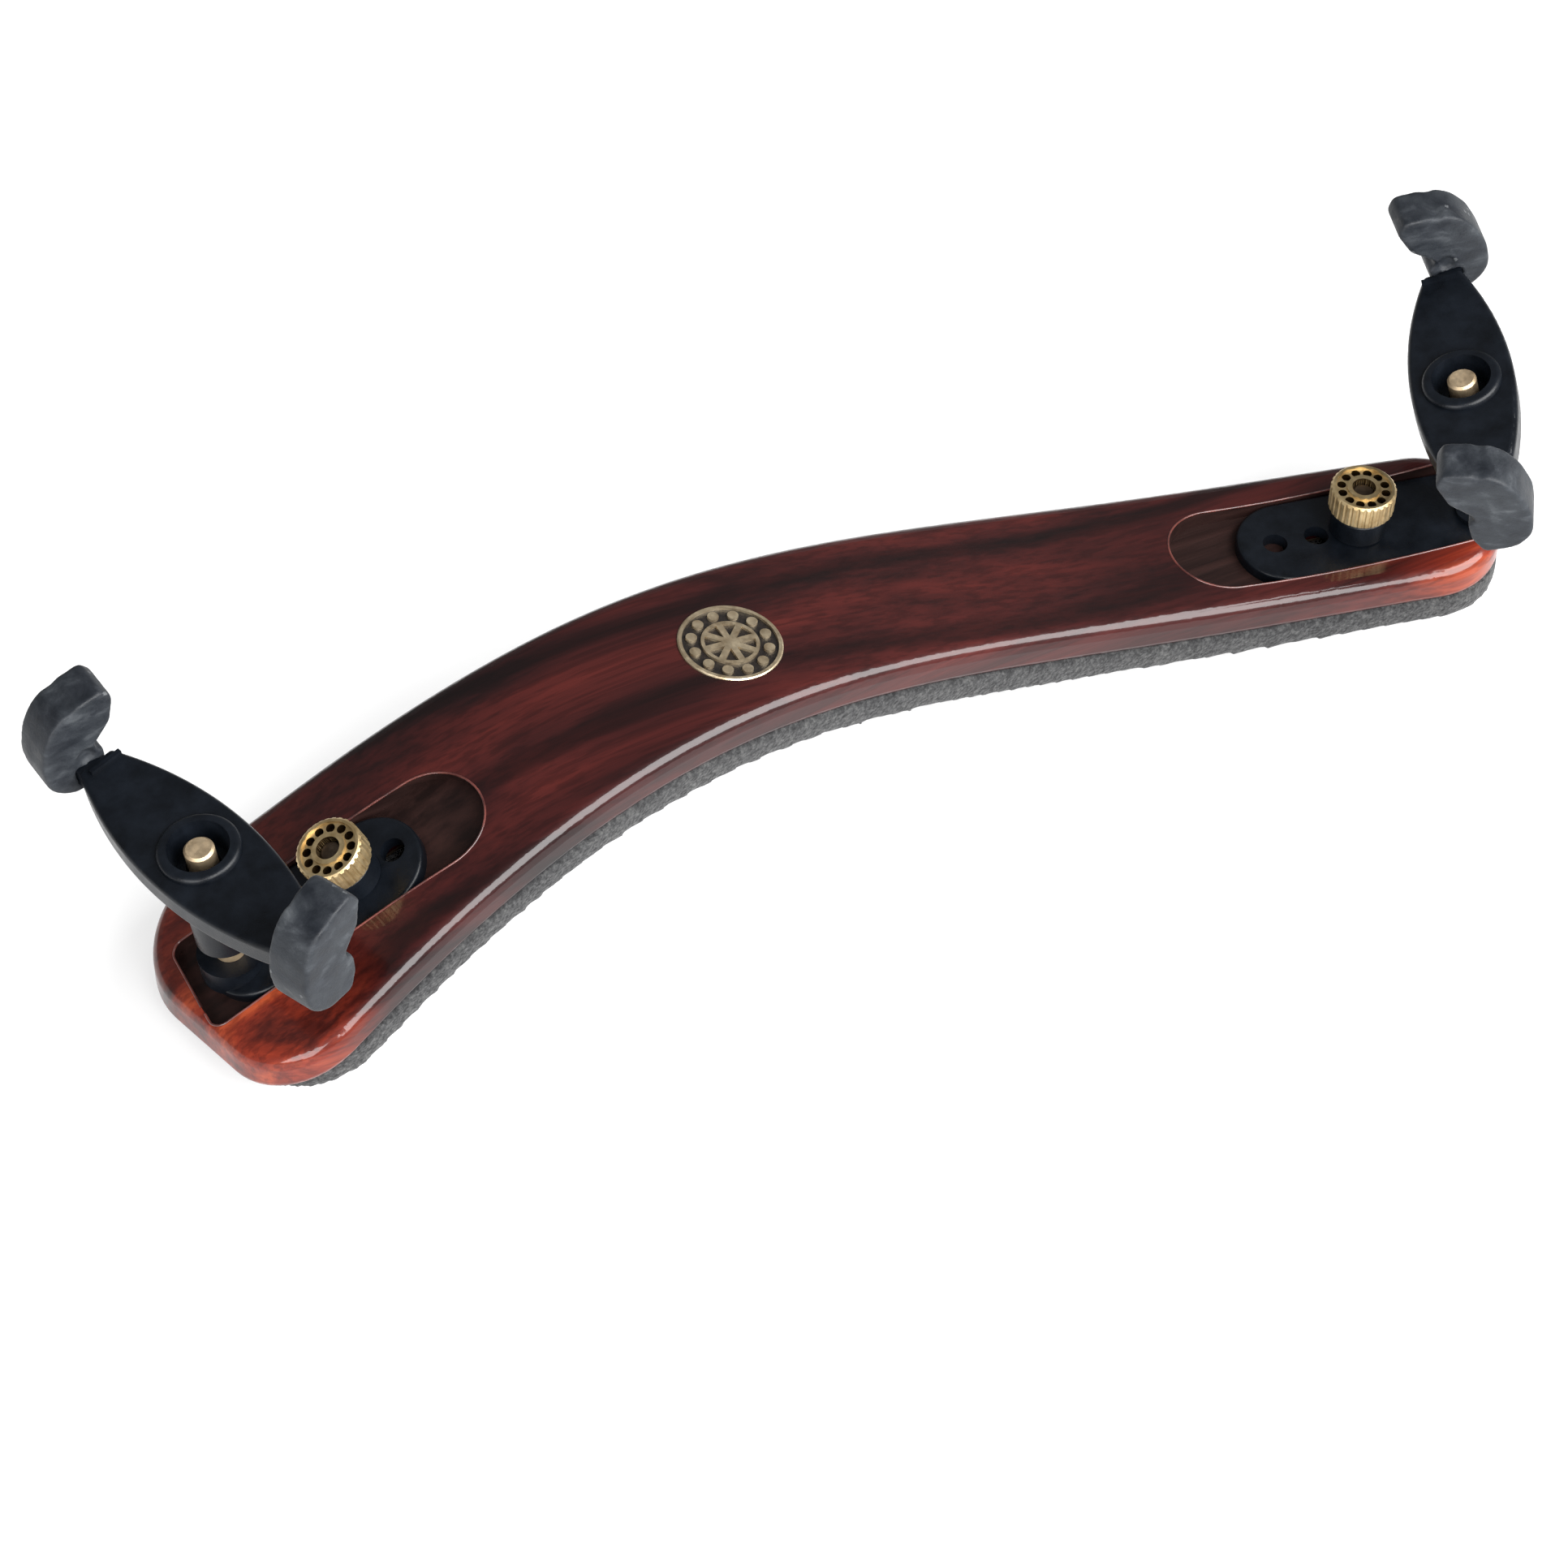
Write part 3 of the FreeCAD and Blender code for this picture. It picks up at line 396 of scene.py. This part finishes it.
LOOKS = {
    "wood": wood_look(),
    "channel": channel_shade_look(),
    "lip": lip_look(),
    "foam": foam_look(),
    "plastic": plastic_look(),
    "rubber": rubber_look(),
    "brass": metal_look("brass", (0.70, 0.55, 0.31), (0.46, 0.33, 0.16), 0.42),
    "screw": metal_look("screw_brass", (0.60, 0.47, 0.31), (0.40, 0.30, 0.19), 0.55),
    # Brass painted nearly black: painted shade for the nut's pockets.
    "recess": metal_look("brass_pocket_painted_shade", (0.050, 0.028, 0.008), (0.016, 0.009, 0.004), 0.6),
    "steel": metal_look("steel", (0.16, 0.12, 0.085), (0.07, 0.05, 0.035), 0.42),
    "medal": metal_look("medallion_metal", (0.70, 0.58, 0.40), (0.42, 0.32, 0.20), 0.38),
    "enamel": enamel_look(),
}


# ------------------------------------------------------- painting the CAD nodes
def paint(piece, *looks):
    """Give a piece these looks as its slots, with every face in the first."""
    piece.data.materials.clear()
    for look in looks:
        piece.data.materials.append(LOOKS[look])
    for face in piece.data.polygons:
        face.material_index = OUTER
    return piece


def paint_nodes():
    """The CAD nodes that stay as they are and have one look each."""
    looks = {
        "medallion_rim": "medal",
        "medallion_petals": "medal",
        "medallion_rosette": "medal",
        "medallion_pins": "steel",
        "medallion_disc": "enamel",
    }
    for side in SIDES:
        looks["end_plate_" + side] = "plastic"
        looks["clamp_collar_" + side] = "plastic"
        looks["fork_" + side] = "plastic"
        looks["leg_screw_" + side] = "screw"
        looks["fork_bush_" + side] = "brass"
        looks["clamp_stud_" + side] = "steel"
        looks["stud_rail_" + side] = "steel"
    for node, look in looks.items():
        paint(NODES[node], look)


def joint_line(name):
    """A joint's point and axis at rest."""
    joint = JOINTS[name]
    return Vector(joint.get("pos_m", (0, 0, 0))), Vector(joint["axis"]).normalized()


def paint_bar():
    """The bar is lacquered, and the floor and walls of its channels are bare wood, painted
    darker as shade.
    """
    bar = paint(NODES["base_bar"], "wood", "channel")
    for side in SIDES:
        origin, up = joint_line("nut_turn_" + side)
        along = joint_line("plate_slide_" + side)[1]
        across = up.cross(along)
        for face in bar.data.polygons:
            spot = face.center - origin
            height, reach, offset = spot.dot(up), spot.dot(along), spot.dot(across)
            if abs(offset) >= CHANNEL_HALF_WIDTH or abs(reach) >= CHANNEL_REACH:
                continue
            on_floor = abs(height) < FLOOR_TOLERANCE and face.normal.dot(up) > LEVEL
            upright = abs(face.normal.dot(up)) < UPRIGHT
            on_wall = upright and -WALL_TOLERANCE < height < WALL_HEIGHT
            to_middle = origin + along * reach - face.center
            # These faces take the channel look: painted shade in the recess.
            if on_floor or (on_wall and face.normal.dot(to_middle) > 0):
                face.material_index = INNER


def paint_nuts():
    """The round pockets and the bore in each clamp nut's face are painted dark as shade."""
    for side in SIDES:
        origin, up = joint_line("nut_turn_" + side)
        nut = paint(NODES["clamp_nut_" + side], "brass", "recess")
        top = max((vertex.co - origin).dot(up) for vertex in nut.data.vertices)
        for face in nut.data.polygons:
            spot = face.center - origin
            height = spot.dot(up)
            reach = (spot - up * height).length
            # Faces inside the pockets get the painted shade.
            if POCKET_TOP < top - height < POCKET_FLOOR and reach < POCKET_REACH:
                face.material_index = INNER


# ---------------------------------------------------------------- channel lips
def spot_key(spot):
    """A vertex's place, rounded, so that split vertices count as one."""
    return tuple(round(number, 6) for number in spot)


def channel_edges():
    """The bar's edges between a lacquered face and a bare one, as pairs of places."""
    mesh = NODES["base_bar"].data
    slots_at = {}
    for face in mesh.polygons:
        for pair in face.edge_keys:
            edge = frozenset(spot_key(mesh.vertices[index].co) for index in pair)
            slots_at.setdefault(edge, []).append(face.material_index)
    return [tuple(edge) for edge, slots in slots_at.items() if sorted(slots) == [OUTER, INNER]]


def tube(name, edges, radius):
    """A thin round tube along a chain of edges."""
    spots = sorted({spot for edge in edges for spot in edge})
    number = {spot: index for index, spot in enumerate(spots)}
    line = bpy.data.meshes.new(name)
    line.from_pydata(spots, [(number[first], number[last]) for first, last in edges], [])
    made = bpy.data.objects.new(name, line)
    bpy.context.scene.collection.objects.link(made)
    for other in bpy.context.selected_objects:
        other.select_set(False)
    made.select_set(True)
    bpy.context.view_layer.objects.active = made
    bpy.ops.object.convert(target="CURVE")
    made.data.bevel_depth = radius
    made.data.bevel_resolution = 3
    bpy.ops.object.convert(target="MESH")
    for face in made.data.polygons:
        face.use_smooth = True
    return made


def channel_lips():
    """A fine rounded lip along the mouth of each channel, on the bar's upper face."""
    edges = channel_edges()
    for side in SIDES:
        origin, up = joint_line("nut_turn_" + side)
        mouth = [
            edge for edge in edges
            if all((Vector(spot) - origin).length < CHANNEL_REACH for spot in edge)
            and all((Vector(spot) - origin).dot(up) > MOUTH_HEIGHT for spot in edge)
        ]
        lip = paint(tube("channel_lip_" + side, mouth, LIP_RADIUS), "lip")
        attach(lip, "bar")


# ----------------------------------------------------------------- soft pieces
def soft_copy(node, name, cell, rounds):
    """A copy of a CAD node's mesh, remade on an even grid and rubbed soft."""
    piece = NODES[node].copy()
    piece.data = NODES[node].data.copy()
    piece.name = piece.data.name = name
    piece.parent = None
    bpy.context.scene.collection.objects.link(piece)
    # Without the node's own properties, the copy isn't taken for a CAD node.
    for key in list(piece.keys()):
        del piece[key]
    remesh = piece.modifiers.new("cells", "REMESH")
    remesh.mode = "VOXEL"
    remesh.voxel_size = cell
    smooth = piece.modifiers.new("soften", "SMOOTH")
    smooth.factor = 0.5
    smooth.iterations = rounds
    return piece


def freeze(piece, look):
    """Apply the modifiers, smooth the shading and give the piece its look."""
    evaluated = piece.evaluated_get(bpy.context.evaluated_depsgraph_get())
    shape = bpy.data.meshes.new_from_object(evaluated)
    piece.modifiers.clear()
    piece.data = shape
    for face in shape.polygons:
        face.use_smooth = True
    return paint(piece, look)


def rubber_boots():
    """The four boots, moulded soft: rounded rims on their end faces and lips."""
    for side in SIDES:
        for end in ("front", "back"):
            node = "boot_%s_%s" % (side, end)
            boot = freeze(soft_copy(node, "rubber_" + node, BOOT_CELL, BOOT_ROUNDS), "rubber")
            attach(boot, "fork_" + side)
            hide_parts(node)


def foam_cushion():
    """The sponge pad: softened edges and a lightly uneven skin."""
    pad = soft_copy("foam_pad", "foam_cushion", PAD_CELL, PAD_ROUNDS)
    skin = bpy.data.textures.new("foam_skin", "CLOUDS")
    skin.noise_scale = PAD_GRAIN
    rough = pad.modifiers.new("skin", "DISPLACE")
    rough.texture = skin
    rough.texture_coords = "LOCAL"
    rough.strength = PAD_RELIEF
    rough.mid_level = 0.4
    freeze(pad, "foam")
    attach(pad, "bar")
    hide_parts("foam_pad")


# ------------------------------------------------------ stage, light and camera
def floor(size):
    """A wide pale floor that glows a little, so that it stays pale far from the lights."""
    bpy.ops.mesh.primitive_plane_add(size=size)
    plane = bpy.context.object
    plane.name = "floor"
    look = Look("floor")
    grain = look.noise(look.place, scale=30.0, detail=2.0)
    look.set(
        Base_Color=look.ramp(grain, (0.3, (0.36, 0.36, 0.36)), (0.7, (0.38, 0.38, 0.38))),
        Roughness=0.9,
        Specular_IOR_Level=0.1,
        Emission_Color=(1, 1, 1, 1),
        Emission_Strength=0.62,
    )
    plane.data.materials.append(look.material)


def sky(strength):
    """Even white light from all around, shown with plain sRGB colours."""
    world = bpy.data.worlds.new("studio")
    world.use_nodes = True
    background = world.node_tree.nodes["Background"]
    background.inputs["Color"].default_value = (1, 1, 1, 1)
    background.inputs["Strength"].default_value = strength
    bpy.context.scene.world = world
    bpy.context.scene.view_settings.view_transform = "Standard"


def softbox(name, place, target, width, height, power):
    """A white rectangular light at one place, turned towards another."""
    light = bpy.data.lights.new(name, "AREA")
    light.shape = "RECTANGLE"
    light.size, light.size_y = width, height
    light.energy = power
    lamp = bpy.data.objects.new(name, light)
    lamp.location = place
    lamp.rotation_mode = "QUATERNION"
    lamp.rotation_quaternion = (Vector(target) - Vector(place)).to_track_quat("-Z", "Y")
    bpy.context.scene.collection.objects.link(lamp)


def camera(aim, azimuth, elevation, distance, lens):
    """A level camera: azimuth 0 looks from the front, and below 0 from the left of it."""
    turn, climb = math.radians(azimuth), math.radians(elevation)
    back = Vector((
        math.sin(turn) * math.cos(climb),
        -math.cos(turn) * math.cos(climb),
        math.sin(climb),
    ))
    right = Vector((math.cos(turn), math.sin(turn), 0))
    view = bpy.data.cameras.new("camera")
    view.lens = lens
    view.sensor_width = 36.0
    view.clip_start, view.clip_end = 0.01, 20.0
    item = bpy.data.objects.new("camera", view)
    turned = Matrix((right, back.cross(right), back)).transposed().to_4x4()
    turned.translation = aim + back * distance
    item.matrix_world = turned
    bpy.context.scene.collection.objects.link(item)
    bpy.context.scene.camera = item


paint_nodes()
paint_bar()
paint_nuts()
channel_lips()
rubber_boots()
foam_cushion()

floor(size=40)
sky(strength=0.22)
softbox(
    "key",
    place=(0.30, -0.60, 0.66),
    target=(0, 0, 0.02),
    width=1.3,
    height=0.72,
    power=31.0,
)
softbox(
    "left",
    place=(-0.70, -0.50, 0.34),
    target=(-0.05, 0, 0.03),
    width=0.5,
    height=0.4,
    power=6.0,
)
camera(
    aim=Vector((-0.02140, -0.01095, 0.02196)),
    azimuth=-26.82,
    elevation=48.92,
    distance=0.849,
    lens=118.97,
)
